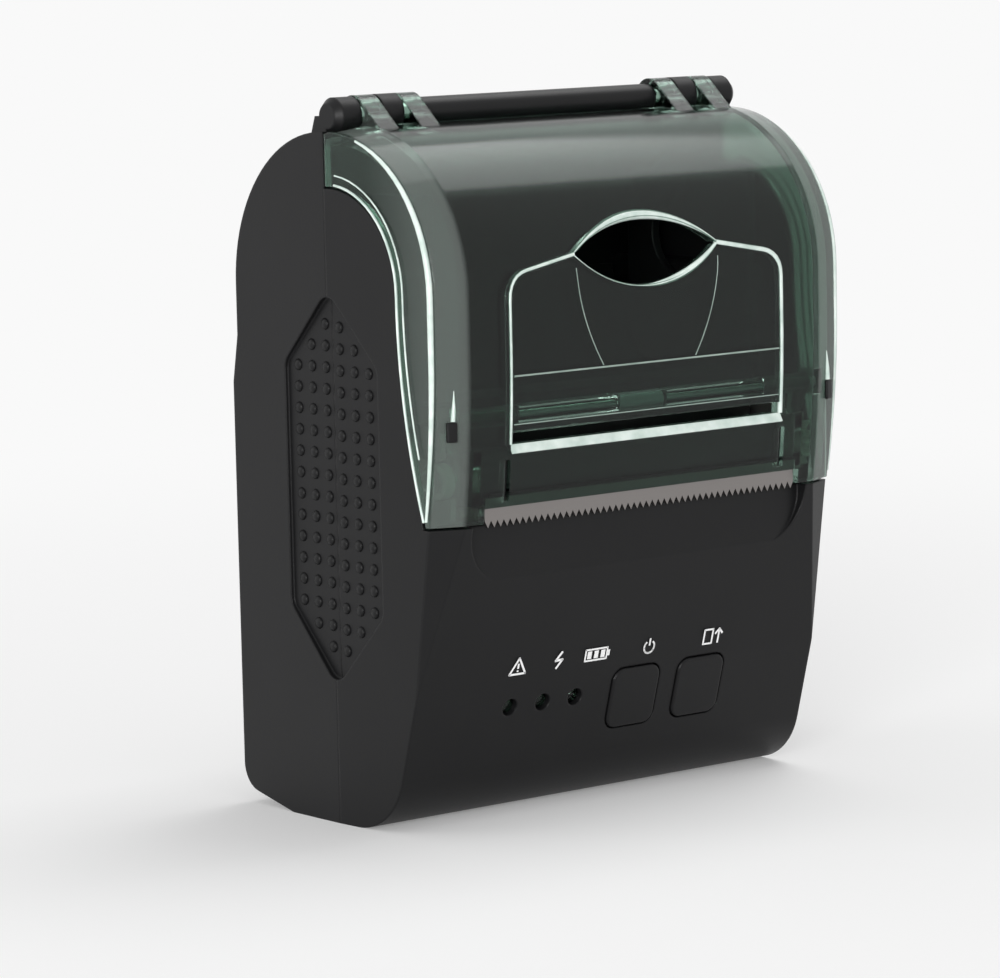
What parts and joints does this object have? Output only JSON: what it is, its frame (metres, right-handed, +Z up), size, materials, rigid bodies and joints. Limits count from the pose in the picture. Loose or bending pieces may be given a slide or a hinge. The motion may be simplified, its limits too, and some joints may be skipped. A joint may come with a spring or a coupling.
{
  "type": "thermal receipt printer",
  "caption": "Portable receipt printer with a hinged smoked cover, pull lever, sprung buttons, tear bar and geared platen.",
  "frame": {"origin": "middle of the flat base, at the centre of the bounding box's floor", "axes": "+Z up as the printer stands, -Y out of the front with the buttons, +X to the right seen from the front"},
  "size_m": [0.076, 0.048, 0.1021],
  "materials": {
    "black_abs": "fine moulded texture",
    "smoked_clear": "clear smoked green, polished",
    "steel": "ground",
    "sheet_steel": "stamped, bright",
    "aluminium": "extruded",
    "brass": "turned",
    "rubber": "ground rubber",
    "white_acetal": "moulded",
    "ceramic": "glazed",
    "board_green": "solder mask",
    "battery_wrap": "shrink film",
    "led_white": "moulded"
  },
  "bodies": {
    "housing": {"rear_shell": "black_abs", "front_shell": "black_abs", "battery_cover": "black_abs", "battery_pack": "battery_wrap", "paper_bucket": "black_abs", "hinge_rod": "steel", "hinge_sleeve": "black_abs", "mechanism_frame": "sheet_steel", "print_head": "ceramic", "head_heat_sink": "aluminium", "head_springs": "steel", "stepper_motor": "sheet_steel", "idler_pin": "steel", "paper_sensor": "black_abs", "light_pipes": "smoked_clear", "status_leds": "led_white", "tact_switches": "black_abs", "main_board": "board_green", "usb_socket": "sheet_steel", "case_screws": "steel"},
    "cover": {"paper_cover": "smoked_clear", "tear_bar": "sheet_steel", "lever_pin": "steel", "lever_spring": "steel", "platen_bushes": "white_acetal"},
    "lever": {"release_lever": "smoked_clear"},
    "platen": {"platen_roller": "rubber", "platen_shaft": "steel", "platen_gear": "white_acetal"},
    "idler": {"idler_gear": "white_acetal"},
    "pinion": {"motor_pinion": "brass", "motor_shaft": "steel"},
    "power_key": {"power_button": "black_abs"},
    "feed_key": {"feed_button": "black_abs"}
  },
  "joints": [
    {"name": "cover_hinge", "type": "hinge", "parent": "housing", "child": "cover", "pos_m": [0, 0.0004, 0.0994], "axis": [-1, 0, 0], "range_deg": [0, 100]},
    {"name": "lever_pull", "type": "hinge", "parent": "cover", "child": "lever", "pos_m": [0, -0.02, 0.0582], "axis": [1, 0, 0], "range_deg": [0, 25], "stiffness_Nm_per_rad": 0.012, "springref_deg": -17.19},
    {"name": "platen_spin", "type": "hinge", "parent": "cover", "child": "platen", "pos_m": [0, -0.0152, 0.0493], "axis": [1, 0, 0], "continuous": true},
    {"name": "idler_spin", "type": "hinge", "parent": "housing", "child": "idler", "pos_m": [0, -0.00565, 0.04633], "axis": [1, 0, 0], "continuous": true},
    {"name": "motor_spin", "type": "hinge", "parent": "housing", "child": "pinion", "pos_m": [0, -0.00332, 0.03763], "axis": [1, 0, 0], "continuous": true},
    {"name": "power_press", "type": "slide", "parent": "housing", "child": "power_key", "axis": [0, 0.9609, 0.2768], "range_m": [0, 0.0006], "stiffness_N_per_m": 400, "springref_m": -0.0004},
    {"name": "feed_press", "type": "slide", "parent": "housing", "child": "feed_key", "axis": [0, 0.9609, 0.2768], "range_m": [0, 0.0006], "stiffness_N_per_m": 400, "springref_m": -0.0004}
  ],
  "couplings": [
    {"joint": "idler_spin", "follows": "platen_spin", "ratio": -0.66667},
    {"joint": "motor_spin", "follows": "platen_spin", "ratio": 1.3333}
  ]
}
